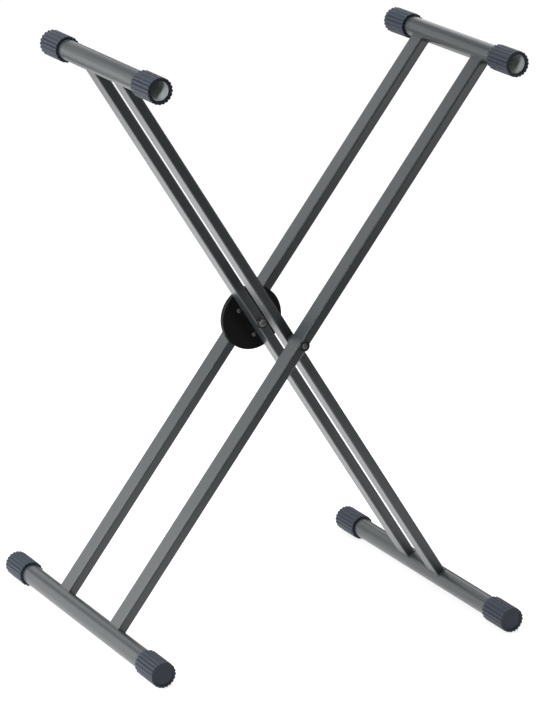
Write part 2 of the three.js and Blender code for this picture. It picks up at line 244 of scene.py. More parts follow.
def edge_wear_group():
    """How much an edge has been rubbed: the turn of a softened normal, broken up by a noise."""
    group, given, output = new_group("edge wear", "ShaderNodeTree", {
        "Edge Width": ("Float", 0.001),
        "Patch Size": ("Float", 0.01),
        "Amount": ("Float", 0.5),
    }, {"Mask": "Float"})
    soft = node(group, "ShaderNodeBevel", {"Radius": given.outputs["Edge Width"]}, samples=4)
    true = node(group, "ShaderNodeNewGeometry")
    along = node(group, "ShaderNodeVectorMath", {0: soft.outputs[0], 1: true.outputs["Normal"]},
                 operation="DOT_PRODUCT")
    turn = node(group, "ShaderNodeMath", {0: 1.0, 1: along.outputs["Value"]}, operation="SUBTRACT")
    strong = node(group, "ShaderNodeMath", {0: turn.outputs[0], 1: edge_gain},
                  operation="MULTIPLY", use_clamp=True)
    scale = node(group, "ShaderNodeMath", {0: 1.0, 1: given.outputs["Patch Size"]}, operation="DIVIDE")
    place = node(group, "ShaderNodeTexCoord").outputs["Object"]
    patches = node(group, "ShaderNodeTexNoise", {"Vector": place, "Scale": scale.outputs[0], "Detail": 4.0})
    broken = node(group, "ShaderNodeMath", {0: strong.outputs[0], 1: patches.outputs["Fac"]},
                  operation="MULTIPLY")
    mask = node(group, "ShaderNodeMath", {0: broken.outputs[0], 1: given.outputs["Amount"]},
                operation="MULTIPLY", use_clamp=True)
    link_out(group, output, {"Mask": mask.outputs[0]})
    return group


fine_grain = fine_grain_group()
edge_wear = edge_wear_group()


def finish_material(name, colour, roughness, metal, grain_size, relief, worn_colour, edge_width,
                    wear=0.4, spread=0.2, gloss_spread=0.12, specular=0.5):
    """A finish with its own grain, drifts and rubbed edges. relief is how high the grain stands."""
    material = bpy.data.materials.new(name)
    material.use_nodes = True
    tree = material.node_tree
    tree.nodes.clear()
    grain = node(tree, "ShaderNodeGroup", node_tree=fine_grain)
    for label, value in {"Colour": (*colour, 1), "Colour Spread": spread, "Roughness": roughness,
                         "Roughness Spread": gloss_spread, "Grain Size": grain_size}.items():
        grain.inputs[label].default_value = value
    rubbed = node(tree, "ShaderNodeGroup", node_tree=edge_wear)
    rubbed.inputs["Edge Width"].default_value = edge_width
    rubbed.inputs["Amount"].default_value = wear
    tone = node(tree, "ShaderNodeMix", {0: rubbed.outputs["Mask"], 6: grain.outputs["Colour"],
                                        7: (*worn_colour, 1)}, data_type="RGBA")
    bump = node(tree, "ShaderNodeBump", {"Height": grain.outputs["Height"], "Distance": relief,
                                         "Strength": 1.0})
    surface = node(tree, "ShaderNodeBsdfPrincipled", {
        "Base Color": tone.outputs[2], "Roughness": grain.outputs["Roughness"], "Metallic": metal,
        "IOR": 1.5, "Specular IOR Level": specular, "Normal": bump.outputs[0]})
    node(tree, "ShaderNodeOutputMaterial", {"Surface": surface.outputs[0]})
    return material


powder_coat = finish_material(
    "anthracite powder coat", colour=(0.0255, 0.0315, 0.0345), roughness=0.33, metal=0.0, grain_size=0.0011,
    relief=0.0000025, worn_colour=(0.11, 0.113, 0.115), edge_width=0.0006, wear=0.12, spread=0.05,
    gloss_spread=0.04, specular=0.6)

bare_steel = finish_material(
    "bare drawn steel", colour=(0.76, 0.80, 0.79), roughness=0.7, metal=0.0, grain_size=0.0012,
    relief=0.000004, worn_colour=(0.4, 0.4, 0.4), edge_width=0.0004, wear=0.1, spread=0.1)

for side in ("outer", "inner"):
    for level in ("top", "bottom"):
        name = f"{side}_{level}_tube"
        low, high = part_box(name)
        outline = [(tube_radius, low.y), (tube_radius, high.y),
                   (tube_radius - tube_wall, high.y), (tube_radius - tube_wall, low.y)]
        tube = made_object(name + "_coated", turned(softened(outline, tube_edge, steps=2), tube_sides))
        centre = middle(name)
        place = Matrix.Translation((centre.x, 0, centre.z))
        fitted(tube, place, powder_coat, side + "_frame", "frame_steel", name)
        tube.data.materials.append(bare_steel)
        for face in tube.data.polygons:
            across = Vector((face.center.x - centre.x, face.center.z - centre.z))
            face.material_index = 1 if across.length < tube_radius - bore_share * tube_wall else 0


# ---- Legs -------------------------------------------------------------------------------------------------
# Four lengths of rectangular steel tube, 30 by 15 mm with close corners, two to a frame. Each end is cut to
# a saddle that sits on its cross tube, and each leg is drilled through at its middle for the pivot bolt.

leg_depth = 0.030
leg_width = 0.015
leg_wall = 0.0015
leg_corner = 0.0022
corner_steps = 6
face_margin = 0.0004  # a strip beside each corner that keeps the flat faces flat
bolt_holes = {"front": 0.0033, "rear": 0.0043}  # radius, for the thinner and the thicker bolt
drill_sides = 48
saddle_bite = 0.0001  # how far the saddle reaches into its cross tube

half_span = (middle("outer_top_tube") - middle("outer_bottom_tube")).length / 2


def frame_place(side):
    """From a frame that stands upright about the pivot to the frame as it leans."""
    top = middle(side + "_top_tube") - pivot
    return Matrix.Translation((0, 0, pivot.z)) @ Matrix.Rotation(atan2(top.x, top.z), 4, "Y")


def rounded_section(width, depth, corner):
    """The (x, y) points of a rectangle with round corners."""
    points = []
    for quarter, (x_side, y_side) in enumerate([(1, 1), (-1, 1), (-1, -1), (1, -1)]):
        middle_x, middle_y = x_side * (width / 2 - corner), y_side * (depth / 2 - corner)
        arc = []
        for step in range(corner_steps + 1):
            angle = (quarter + step / corner_steps) * pi / 2
            arc.append(Vector((middle_x + corner * cos(angle), middle_y + corner * sin(angle))))
        first_run = (arc[0] - arc[1]).normalized() * face_margin
        last_run = (arc[-1] - arc[-2]).normalized() * face_margin
        first_run[quarter % 2] = 0
        last_run[(quarter + 1) % 2] = 0
        points += [arc[0] + first_run, *arc, arc[-1] + last_run]
    return points


def saddle_height(x):
    return half_span - sqrt((tube_radius - saddle_bite) ** 2 - x ** 2)


def leg_shape():
    """A hollow leg along Z, with its saddles and its bolt hole still to be drilled."""
    shape = bmesh.new()
    walls = []
    for depth_in in (0, leg_wall):
        section = rounded_section(leg_width - 2 * depth_in, leg_depth - 2 * depth_in, leg_corner - depth_in)
        walls.append([[shape.verts.new((x, y, end * saddle_height(x))) for x, y in section]
                      for end in (1, -1)])
    (outer_top, outer_foot), (inner_top, inner_foot) = walls
    count = len(outer_top)
    for first, second in ((outer_top, outer_foot), (outer_foot, inner_foot),
                          (inner_foot, inner_top), (inner_top, outer_top)):
        for point in range(count):
            after = (point + 1) % count
            shape.faces.new((first[point], first[after], second[after], second[point]))
    bmesh.ops.recalc_face_normals(shape, faces=shape.faces)
    return shape


def drill(radius, length):
    outline = [(0, -length / 2), (radius, -length / 2), (radius, length / 2), (0, length / 2)]
    return made_object("drill", turned(outline, drill_sides))


for side in ("outer", "inner"):
    for end in ("front", "rear"):
        name = f"{side}_{end}_leg"
        leg = made_object(name + "_coated", leg_shape())
        bit = drill(bolt_holes[end], 2 * leg_depth)
        bore = leg.modifiers.new("bolt hole", "BOOLEAN")
        bore.operation = "DIFFERENCE"
        bore.solver = "EXACT"
        bore.object = bit
        as_plain_mesh(leg)
        bpy.data.objects.remove(bit)
        place = frame_place(side) @ Matrix.Translation((0, middle(name).y, 0))
        fitted(leg, place, powder_coat, side + "_frame", "frame_steel", name)


# ---- Weld beads -------------------------------------------------------------------------------------------
# Each leg is welded to its two cross tubes all the way round its saddle. The beads are small and close,
# laid as a row of even ripples, and lie under the powder coat.

bead_radius = 0.0011
ripple_pitch = 0.0016
ripple_height = 0.12  # as a share of the bead's radius
bead_sides = 10
bead_crisp = radians(80)  # the ripples are shaded smooth


def swept_bead_tree():
    """A closed line of points becomes a rippled bead along it."""
    tree, given, output = new_group("rippled bead", "GeometryNodeTree", {
        "Line": ("Geometry", None),
        "Bead Radius": ("Float", 0.001),
        "Ripple Pitch": ("Float", 0.002),
        "Ripple Height": ("Float", 0.1),
        "Sides": ("Int", 8),
        "Material": ("Material", None),
    }, {"Bead": "Geometry"})
    curve = node(tree, "GeometryNodeMeshToCurve", {0: given.outputs["Line"]})
    quarter_pitch = node(tree, "ShaderNodeMath",
                         {0: given.outputs["Ripple Pitch"], 1: 4.0}, operation="DIVIDE")
    even = node(tree, "GeometryNodeResampleCurve", {0: curve.outputs[0]})
    even.mode = "LENGTH"
    tree.links.new(quarter_pitch.outputs[0], even.inputs["Length"])
    along = node(tree, "GeometryNodeSplineParameter")
    turns = node(tree, "ShaderNodeMath",
                 {0: along.outputs["Length"], 1: given.outputs["Ripple Pitch"]}, operation="DIVIDE")
    angle = node(tree, "ShaderNodeMath", {0: turns.outputs[0], 1: 2 * pi}, operation="MULTIPLY")
    wave = node(tree, "ShaderNodeMath", {0: angle.outputs[0]}, operation="SINE")
    swell = node(tree, "ShaderNodeMath",
                 {0: wave.outputs[0], 1: given.outputs["Ripple Height"], 2: 1.0}, operation="MULTIPLY_ADD")
    rippled = node(tree, "GeometryNodeSetCurveRadius", {0: even.outputs[0], "Radius": swell.outputs[0]})
    profile = node(tree, "GeometryNodeCurvePrimitiveCircle",
                   {"Resolution": given.outputs["Sides"], "Radius": given.outputs["Bead Radius"]})
    swept = node(tree, "GeometryNodeCurveToMesh", {0: rippled.outputs[0], 1: profile.outputs[0]})
    whole = node(tree, "GeometryNodeRealizeInstances", {0: swept.outputs[0]})
    coated = node(tree, "GeometryNodeSetMaterial",
                  {0: whole.outputs[0], "Material": given.outputs["Material"]})
    link_out(tree, output, {"Bead": coated.outputs[0]})
    return tree


def with_tree(piece, tree, **values):
    """Adds a tree to a piece, with each named input set under its socket's identifier."""
    modifier = piece.modifiers.new(tree.name, "NODES")
    modifier.node_group = tree
    for item in tree.interface.items_tree:
        key = item.name.lower().replace(" ", "_")
        if item.in_out == "INPUT" and key in values:
            modifier[item.identifier] = values[key]
    return piece


def bead_lines(leg_centres):
    """The closed lines round the saddles of a frame's two legs, in the upright frame."""
    shape = bmesh.new()
    for centre_y in leg_centres:
        for end in (1, -1):
            line = []
            for x, y in rounded_section(leg_width, leg_depth, leg_corner):
                line.append(shape.verts.new((x, centre_y + y, end * saddle_height(x))))
            for first, second in zip(line, line[1:] + line[:1]):
                shape.edges.new((first, second))
    return shape


rippled_bead = swept_bead_tree()
for side in ("outer", "inner"):
    centres = [middle(f"{side}_{end}_leg").y for end in ("front", "rear")]
    beads = with_tree(made_object(side + "_weld_beads", bead_lines(centres)), rippled_bead,
                      bead_radius=bead_radius, ripple_pitch=ripple_pitch, ripple_height=ripple_height,
                      sides=bead_sides, material=powder_coat)
    fitted(beads, frame_place(side), powder_coat, side + "_frame", "frame_steel", crisp=bead_crisp)


# ---- Ribbed ends ------------------------------------------------------------------------------------------
# Eight blue-black rubber mouldings with 20 round ribs: open sleeves on the ends of the top tubes, which grip
# the keyboard, and closed caps on the bottom tubes, which are the feet. All are pushed over the bare tube.

rib_count = 20
rib_height = 0.0016
rib_steps = 12
rib_power = 2.2  # how broad the crests are against the valleys
sleeve_bore = 0.01508
sleeve_lip = 0.003
sleeve_mouth = 0.0140
cap_end = 0.0045
cap_dish_radius = 0.0148
cap_dish_depth = 0.0008
moulded_edge = 0.0006
moulded_crisp = radians(50)

crest_radius = middle("outer_bottom_tube").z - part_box("outer_bottom_front_cap")[0].z


def repeated_round_tree():
    """A sector becomes a whole ring of sectors about the Y axis, sewn together where they meet."""
    tree, given, output = new_group("repeated round the axis", "GeometryNodeTree", {
        "Sector": ("Geometry", None),
        "Count": ("Int", 6),
        "Seam": ("Float", 0.000001),
        "Material": ("Material", None),
    }, {"Ring": "Geometry"})
    points = node(tree, "GeometryNodePoints", {"Count": given.outputs["Count"]})
    step = node(tree, "ShaderNodeMath", {0: 2 * pi, 1: given.outputs["Count"]}, operation="DIVIDE")
    index = node(tree, "GeometryNodeInputIndex")
    angle = node(tree, "ShaderNodeMath", {0: step.outputs[0], 1: index.outputs[0]}, operation="MULTIPLY")
    turn = node(tree, "FunctionNodeAxisAngleToRotation", {"Axis": (0, 1, 0), "Angle": angle.outputs[0]})
    copies = node(tree, "GeometryNodeInstanceOnPoints",
                  {"Points": points.outputs[0], "Instance": given.outputs["Sector"],
                   "Rotation": turn.outputs[0]})
    whole = node(tree, "GeometryNodeRealizeInstances", {0: copies.outputs[0]})
    sewn = node(tree, "GeometryNodeMergeByDistance",
                {"Geometry": whole.outputs[0], "Distance": given.outputs["Seam"]})
    coated = node(tree, "GeometryNodeSetMaterial",
                  {0: sewn.outputs[0], "Material": given.outputs["Material"]})
    link_out(tree, output, {"Ring": coated.outputs[0]})
    return tree


repeated_round = repeated_round_tree()


def round_pattern(name, outline_at, count, steps, material):
    """count equal sectors. outline_at(share) is the closed (radius, y) outline, from -1 to 1 across one."""
    shape = bmesh.new()
    slices = []
    for step in range(steps + 1):
        share = 2 * step / steps - 1
        angle = share * pi / count
        slices.append([shape.verts.new((radius * sin(angle), y, radius * cos(angle)))
                       for radius, y in outline_at(share)])
    for first, second in zip(slices, slices[1:]):
        for point in range(len(first)):
            after = (point + 1) % len(first)
            shape.faces.new((first[point], first[after], second[after], second[point]))
    piece = with_tree(made_object(name, shape), repeated_round, count=count, material=material)
    as_plain_mesh(piece)
    closed = bmesh.new()
    closed.from_mesh(piece.data)
    bmesh.ops.dissolve_degenerate(closed, dist=1e-7, edges=closed.edges)
    bmesh.ops.recalc_face_normals(closed, faces=closed.faces)
    closed.to_mesh(piece.data)
    closed.free()
    return piece


def rib_radius(share):
    """A broad round crest at 0 and a narrow valley at -1 and 1."""
    return crest_radius - rib_height * abs(share) ** rib_power


def sleeve_outline(share):
    rib = rib_radius(share)
    mouth = softened([(sleeve_mouth, 0), (rib, 0), (rib, cap_length), (sleeve_bore, cap_length)],
                     moulded_edge)
    return mouth + [(sleeve_bore, sleeve_lip), (sleeve_mouth, sleeve_lip)]


def cap_outline(share):
    rib = rib_radius(share)
    end = softened([(cap_dish_radius, cap_dish_depth), (cap_dish_radius + cap_dish_depth, 0), (rib, 0),
                    (rib, cap_length), (sleeve_bore, cap_length)], moulded_edge)
    return [(0, cap_dish_depth)] + end + [(sleeve_bore, cap_end), (0, cap_end)]


moulded_rubber = finish_material(
    "blue-black moulded rubber", colour=(0.014, 0.021, 0.035), roughness=0.46, metal=0.0, grain_size=0.0005,
    relief=0.0000005, worn_colour=(0.035, 0.043, 0.058), edge_width=0.0006, wear=0.15, spread=0.04,
    gloss_spread=0.04, specular=0.3)

for side in ("outer", "inner"):
    for level, kind, outline in (("top", "sleeve", sleeve_outline), ("bottom", "cap", cap_outline)):
        for end in ("front", "rear"):
            name = f"{side}_{level}_{end}_{kind}"
            low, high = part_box(name)
            cap_length = high.y - low.y
            ribbed = round_pattern(name + "_moulded", outline, rib_count, rib_steps, moulded_rubber)
            tube_centre = middle(f"{side}_{level}_tube")
            outer_end = low.y if end == "front" else high.y
            place = (Matrix.Translation((tube_centre.x, outer_end, tube_centre.z))
                     @ Matrix.Rotation(0 if end == "front" else pi, 4, "Z"))
            fitted(ribbed, place, moulded_rubber, side + "_frame", "ribbed_rubber", name,
                   crisp=moulded_crisp)


# ---- Clutch pans ------------------------------------------------------------------------------------------
# Two shallow round pans pressed from 1.8 mm steel sheet and painted black. One lies on the inner rear leg
# and one on the outer rear leg, and their rims nearly touch, so that they show as one black disc.

seat_gap = 0.00005  # between a seated piece and the leg's face
pan_radius = 0.049
pan_hole = 0.0043
pan_inside = 0.0021  # the inner side of the plate, from the leg's face
pan_rim_wall = 0.0022
pan_depth = 0.0043
pan_shoulder = 0.0015
pan_edge = 0.0005
disc_sides = 128

clutch_black = finish_material(
    "black satin paint", colour=(0.0040, 0.0048, 0.0040), roughness=0.45, metal=0.0, grain_size=0.0009,
    relief=0.000003, worn_colour=(0.05, 0.05, 0.052), edge_width=0.0006, wear=0.25, specular=0.10)


def clutch_place(side):
    """From a clutch half on a leg's face at y = 0, with the other half towards +y, to its place."""
    low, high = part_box(side + "_rear_leg")
    face = high.y if side == "inner" else low.y
    return (frame_place(side) @ Matrix.Translation((0, face, 0))
            @ Matrix.Rotation(0 if side == "inner" else pi, 4, "Z"))


for side in ("inner", "outer"):
    outline = [(pan_hole, seat_gap), (pan_radius, seat_gap, pan_shoulder), (pan_radius, pan_depth),
               (pan_radius - pan_rim_wall, pan_depth), (pan_radius - pan_rim_wall, pan_inside),
               (pan_hole, pan_inside)]
    pressed = turned(softened(outline, pan_edge, steps=5), disc_sides)
    pan = made_object(side + "_clutch_pan_painted", pressed)
    fitted(pan, clutch_place(side), clutch_black, side + "_frame", "clutch_black", side + "_clutch_pan")


# ---- Toothed rings ----------------------------------------------------------------------------------------
# A steel ring with 36 radial teeth is riveted into each pan. The teeth of the two rings mesh when the knob
# is tight, and set the height of the stand step by step.

tooth_count = 36
ring_bore = 0.012
ring_room = 0.005  # from the ring to the outside of the pan
ring_radius = pan_radius - ring_room
ring_back = 0.0021
ring_front = 0.0034
tooth_top = 0.0043
tooth_length = 0.0128
tooth_inset = 0.0003
tooth_span = (ring_radius - tooth_inset - tooth_length, ring_radius - tooth_inset)
tooth_half_root = 0.001015
tooth_half_tip = 0.0005
tooth_floor = 0.02  # the share of a tooth's height that is left in the valleys
tooth_steps = 16
cut_crisp = radians(25)

gear_steel = finish_material(
    "zinc-grey steel", colour=(0.32, 0.33, 0.34), roughness=0.36, metal=0.85, grain_size=0.0006,
    relief=0.000008, worn_colour=(0.5, 0.5, 0.5), edge_width=0.0004, wear=0.4)


def tooth_height(radius, share):
    across = abs(radius * sin(share * pi / tooth_count))
    slope = (tooth_half_root - across) / (tooth_half_root - tooth_half_tip)
    return ring_front + (tooth_top - ring_front) * min(max(slope, tooth_floor), 1)


def toothed_outline(share):
    inner, outer = tooth_span
    return [(ring_bore, ring_back), (ring_radius, ring_back), (ring_radius, ring_front),
            (outer, ring_front), (outer, tooth_height(outer, share)),
            (inner, tooth_height(inner, share)), (inner, ring_front), (ring_bore, ring_front)]


for side in ("inner", "outer"):
    teeth = round_pattern(side + "_toothed_ring_cut", toothed_outline, tooth_count, tooth_steps, gear_steel)
    place = clutch_place(side) @ Matrix.Rotation(pi / tooth_count, 4, "Y")
    fitted(teeth, place, gear_steel, side + "_frame", "gear_steel", side + "_toothed_ring", crisp=cut_crisp)


# ---- Clutch rivets ----------------------------------------------------------------------------------------
# Four steel rivets a half go through the pan and its toothed ring, two on each side of the leg. Their low
# domed heads show on the disc, and their tails are struck flat on the ring.

rivet_across = 0.0115  # from the middle of the leg
rivet_to_teeth = 0.0047
rivet_circle = tooth_span[0] - rivet_to_teeth
rivet_along = sqrt(rivet_circle ** 2 - rivet_across ** 2)
rivet_head_radius = 0.0035
rivet_head_top = -0.0014
rivet_shank = 0.00215
rivet_tail = 0.0034
rivet_sides = 32

dark_steel = finish_material(
    "black-zinc steel", colour=(0.060, 0.064, 0.064), roughness=0.42, metal=0.0, grain_size=0.0007,
    relief=0.000001, worn_colour=(0.16, 0.16, 0.16), edge_width=0.0003, wear=0.2, spread=0.08)


def domed(seat_radius, seat, top, flat=0.0, steps=8):
    """The (radius, y) points of a domed head, from its top down to its seat."""
    points = [(0, top)] if flat else []
    for step in range(steps + 1):
        angle = step / steps * pi / 2
        points.append((flat + (seat_radius - flat) * sin(angle), seat + (top - seat) * cos(angle)))
    return points


def four_places_tree():
    """One rivet becomes four, at the corners of a rectangle in the plane across the axis."""
    tree, given, output = new_group("four rivets", "GeometryNodeTree", {
        "Rivet": ("Geometry", None),
        "Across": ("Float", 0.01),
        "Along": ("Float", 0.02),
        "Material": ("Material", None),
    }, {"Rivets": "Geometry"})
    grid = node(tree, "GeometryNodeMeshGrid",
                {"Size X": given.outputs["Across"], "Size Y": given.outputs["Along"],
                 "Vertices X": 2, "Vertices Y": 2})
    upright = node(tree, "GeometryNodeTransform",
                   {"Geometry": grid.outputs[0], "Rotation": (pi / 2, 0, 0)})
    copies = node(tree, "GeometryNodeInstanceOnPoints",
                  {"Points": upright.outputs[0], "Instance": given.outputs["Rivet"]})
    whole = node(tree, "GeometryNodeRealizeInstances", {0: copies.outputs[0]})
    coated = node(tree, "GeometryNodeSetMaterial",
                  {0: whole.outputs[0], "Material": given.outputs["Material"]})
    link_out(tree, output, {"Rivets": coated.outputs[0]})
    return tree


four_places = four_places_tree()
for side in ("inner", "outer"):
    outline = domed(rivet_head_radius, seat_gap, rivet_head_top)
    outline += [(rivet_shank, seat_gap), (rivet_shank, rivet_tail), (0, rivet_tail)]
    rivets = with_tree(made_object(side + "_clutch_rivets", turned(outline, rivet_sides)), four_places,
                       across=2 * rivet_across, along=2 * rivet_along, material=dark_steel)
    fitted(rivets, clutch_place(side), dark_steel, side + "_frame", "dark_steel",
           *[f"{side}_clutch_rivet_{number}" for number in range(1, 5)])


# ---- Release spring ---------------------------------------------------------------------------------------
# A short spring of 1 mm wire lies round the clutch bolt, between the pans. It parts the teeth when the knob
# is slack, and bears on neither the bolt nor the rings.

spring_wire = 0.0005
spring_radius = 0.008
spring_turns = 2.0
spring_height = 0.0032
turn_points = 48
wire_sides = 12

spring_steel = finish_material(
    "drawn spring wire", colour=(0.45, 0.46, 0.47), roughness=0.28, metal=0.95, grain_size=0.0004,
    relief=0.000004, worn_colour=(0.6, 0.6, 0.6), edge_width=0.0003, wear=0.2)


def coil_tree():
    """A coil of round wire about the Y axis, half its height to each side of y = 0. It starts from nothing,
    so the mesh that it is given isn't used."""
    tree, given, output = new_group("coiled wire", "GeometryNodeTree", {
        "Seed Mesh": ("Geometry", None),
        "Coil Radius": ("Float", 0.01),
        "Coil Height": ("Float", 0.01),
        "Turns": ("Float", 2.0),
        "Wire Radius": ("Float", 0.001),
        "Material": ("Material", None),
    }, {"Coil": "Geometry"})
    line = node(tree, "GeometryNodeCurveSpiral", {
        "Resolution": turn_points, "Rotations": given.outputs["Turns"],
        "Start Radius": given.outputs["Coil Radius"], "End Radius": given.outputs["Coil Radius"],
        "Height": given.outputs["Coil Height"], "Reverse": True})
    half_down = node(tree, "ShaderNodeMath",
                     {0: given.outputs["Coil Height"], 1: -0.5}, operation="MULTIPLY")
    shift = node(tree, "ShaderNodeCombineXYZ", {"Y": half_down.outputs[0]})
    laid = node(tree, "GeometryNodeTransform",
                {"Geometry": line.outputs[0], "Translation": shift.outputs[0], "Rotation": (-pi / 2, 0, 0)})
    profile = node(tree, "GeometryNodeCurvePrimitiveCircle",
                   {"Resolution": wire_sides, "Radius": given.outputs["Wire Radius"]})
    wire = node(tree, "GeometryNodeCurveToMesh",
                {0: laid.outputs[0], 1: profile.outputs[0], "Fill Caps": True})
    whole = node(tree, "GeometryNodeRealizeInstances", {0: wire.outputs[0]})
    coated = node(tree, "GeometryNodeSetMaterial",
                  {0: whole.outputs[0], "Material": given.outputs["Material"]})
    link_out(tree, output, {"Coil": coated.outputs[0]})
    return tree


spring = with_tree(made_object("clutch_spring_coiled", bmesh.new()), coil_tree(), coil_radius=spring_radius,
                   coil_height=spring_height, turns=spring_turns, wire_radius=spring_wire,
                   material=spring_steel)
place = frame_place("outer") @ Matrix.Translation((0, middle("clutch_spring").y, 0))
fitted(spring, place, spring_steel, "outer_frame", "spring_steel", "clutch_spring")


# ---- Pivot bolts ------------------------------------------------------------------------------------------
# Two black-zinc steel bolts with plain domed heads: M8 through the clutch and M6 through the front legs. Each
# head points to the front and sits in a cup washer with a raised rim, and each tail has a rolled thread.

bolt_kinds = {  # radius, pitch, depth and length of the thread
    "front": (0.003, 0.001, 0.0005, 0.010),
    "clutch": (0.004, 0.00125, 0.0006, 0.016),
}
head_reach_share = 0.6  # of the shank's radius, past the shank
head_flat = 0.0010
head_skirt = 0.0006  # the straight side under the dome
tail_chamfer = 0.0006
tail_share = 0.86  # of the shank's radius, at the tail's end
thread_end_room = 0.0005
thread_flank = 1.6  # how steep a thread's sides are
bolt_sides = 48
washer_base = 0.0012
washer_gap = 0.0003  # round the shank
washer_edge = 0.0002
washer_sides = 64
cup_rim_foot = 0.0074
cup_rim_edge = 0.0006
cup_shoulder = 0.0006
cup_radius = 0.0085
cup_height = 0.0026
cup_gap = 0.0003  # between the solid washer and the leg, closed here
thread_steps = 8  # to a turn

# Near-black: the cup washers' and the front bush's own dark colour, darkened further as painted shade round
# the bolt heads and in the gap between the front legs.
near_black_and_shade = finish_material(
    "blackened washer steel", colour=(0.010, 0.011, 0.011), roughness=0.45, metal=0.0, grain_size=0.0007,
    relief=0.000001, worn_colour=(0.05, 0.05, 0.05), edge_width=0.0003, wear=0.2, spread=0.08, specular=0.3)


def bolt_outline(radius, seat, head_top, tail, pitch, thread_length):
    """The (radius, y) points of a bolt, from the middle of its head to its tail, with rows for its thread."""
    head = radius * (1 + head_reach_share)
    points = domed(head, seat + head_skirt, head_top, head_flat, steps=12)
    points += [(head, seat), (radius, seat)]
    rows = round(thread_length / pitch * thread_steps)
    thread_end = tail - tail_chamfer
    points += [(radius, thread_end - thread_length * (1 - row / rows)) for row in range(rows + 1)]
    return points + [(radius * tail_share, tail), (0, tail)]


for place_name, (radius, pitch, depth, thread_length) in bolt_kinds.items():
    bolt_low, bolt_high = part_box(place_name + "_bolt")
    washer_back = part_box(place_name + "_cup_washer")[1].y
    leg_face = washer_back + cup_gap
    washer_front = washer_back - washer_base
    thread_start = bolt_high.y - tail_chamfer - thread_length

    def thread_relief(y, angle):
        if y < thread_start or y > bolt_high.y - thread_end_room:
            return 0
        turn = (y / pitch - angle / (2 * pi)) % 1
        return depth * min(1, (y - thread_start) / pitch) * min(1, thread_flank * abs(2 * turn - 1))

    outline = bolt_outline(radius, washer_front, bolt_low.y, bolt_high.y, pitch, thread_length)
    bolt = made_object(place_name + "_bolt_turned", turned(outline, bolt_sides, thread_relief))
    fitted(bolt, frame_place("outer"), dark_steel, "outer_frame", "dark_steel", place_name + "_bolt")

    rim_top = washer_back - cup_height
    outline = [(radius + washer_gap, washer_front), (cup_rim_foot, washer_front), (cup_rim_foot, rim_top),
               (cup_rim_foot + cup_rim_edge, rim_top), (cup_radius, washer_front, cup_shoulder),
               (cup_radius, leg_face), (radius + washer_gap, leg_face)]
    name = place_name + "_cup_washer"
    washer = made_object(name + "_turned", turned(softened(outline, washer_edge), washer_sides))
    # The cup washer's near-black is partly painted shade round the bolt head.
    fitted(washer, frame_place("outer"), near_black_and_shade, "outer_frame", "dark_steel", name)


# ---- Front spacer, washer and lock nut --------------------------------------------------------------------
# A black steel bush keeps the two front legs as far apart as the clutch keeps the rear ones; its near-black
# is partly painted shade in the gap between the legs. A flat washer and a lock nut with a nylon collar close
# the front bolt behind the inner leg.

spacer_radius = 0.006
spacer_bore = 0.0033
clamp_reach = 0.00025  # how much of the 0.3 mm between two clamped solids is closed here
turned_edge = 0.00025
hexagon_corners = 6
nut_bore = 0.003
nut_flats = 0.00975 / 2  # from the axis to a flat
nut_low_share = 0.97  # of the flats, where the chamfer of the corners starts
nut_chamfer = radians(30)
nut_steps = 16
nut_hex_height = 0.0046
nut_collar = 0.0043
nut_collar_bore = 0.0031
collar_shoulder = 0.0008
collar_mouth = 0.0003
collar_foot = 0.0001


def hexagon_radius(flats, share):
    """The distance to a hexagon's side, for a sector that is centred on a corner."""
    return flats / cos(pi / hexagon_corners * (1 - abs(share)))


def nut_outline(bore, flats, hex_height, share):
    """The (radius, y) points of a hexagonal nut with chamfered corners."""
    reach = hexagon_radius(flats, share)
    low = flats * nut_low_share
    edge = (reach - low) * tan(nut_chamfer)
    return [(bore, 0), (low, 0), (reach, edge), (reach, hex_height - edge), (low, hex_height)]


spacer_ends = (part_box("outer_front_leg")[1].y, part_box("front_spacer")[1].y + clamp_reach)
washer_ends = (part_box("front_washer")[0].y - clamp_reach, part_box("front_lock_nut")[0].y)
for name, (low_y, high_y) in (("front_spacer", spacer_ends), ("front_washer", washer_ends)):
    outline = [(spacer_bore, low_y), (spacer_radius, low_y), (spacer_radius, high_y), (spacer_bore, high_y)]
    washer = made_object(name + "_turned", turned(softened(outline, turned_edge), washer_sides))
    # The bush's near-black is partly painted shade in the gap between the front legs.
    finish = near_black_and_shade if name == "front_spacer" else dark_steel
    fitted(washer, frame_place("outer"), finish, "outer_frame", "dark_steel", name)

nut_low, nut_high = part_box("front_lock_nut")


def lock_nut_outline(share):
    height = nut_high.y - nut_low.y
    collar = softened([(nut_collar, nut_hex_height), (nut_collar, height, collar_shoulder),
                       (nut_collar_bore, height, collar_mouth)], collar_foot)
    return nut_outline(nut_bore, nut_flats, nut_hex_height, share) + collar


lock_nut = round_pattern("front_lock_nut_pressed", lock_nut_outline, hexagon_corners, nut_steps, dark_steel)
hexagon_turn = Matrix.Rotation(pi / hexagon_corners, 4, "Y")  # a corner points across the frame
fitted(lock_nut, frame_place("outer") @ Matrix.Translation((0, nut_low.y, 0)) @ hexagon_turn,
       dark_steel, "outer_frame", "dark_steel", "front_lock_nut", crisp=cut_crisp)


# ---- Thrust washer, clamping knob and insert --------------------------------------------------------------
# A black moulded knob with six lobes clamps the clutch from behind. A hexagonal steel insert is moulded into
# it and runs on the clutch bolt's thread, and a broad steel washer slides between the knob and the leg.

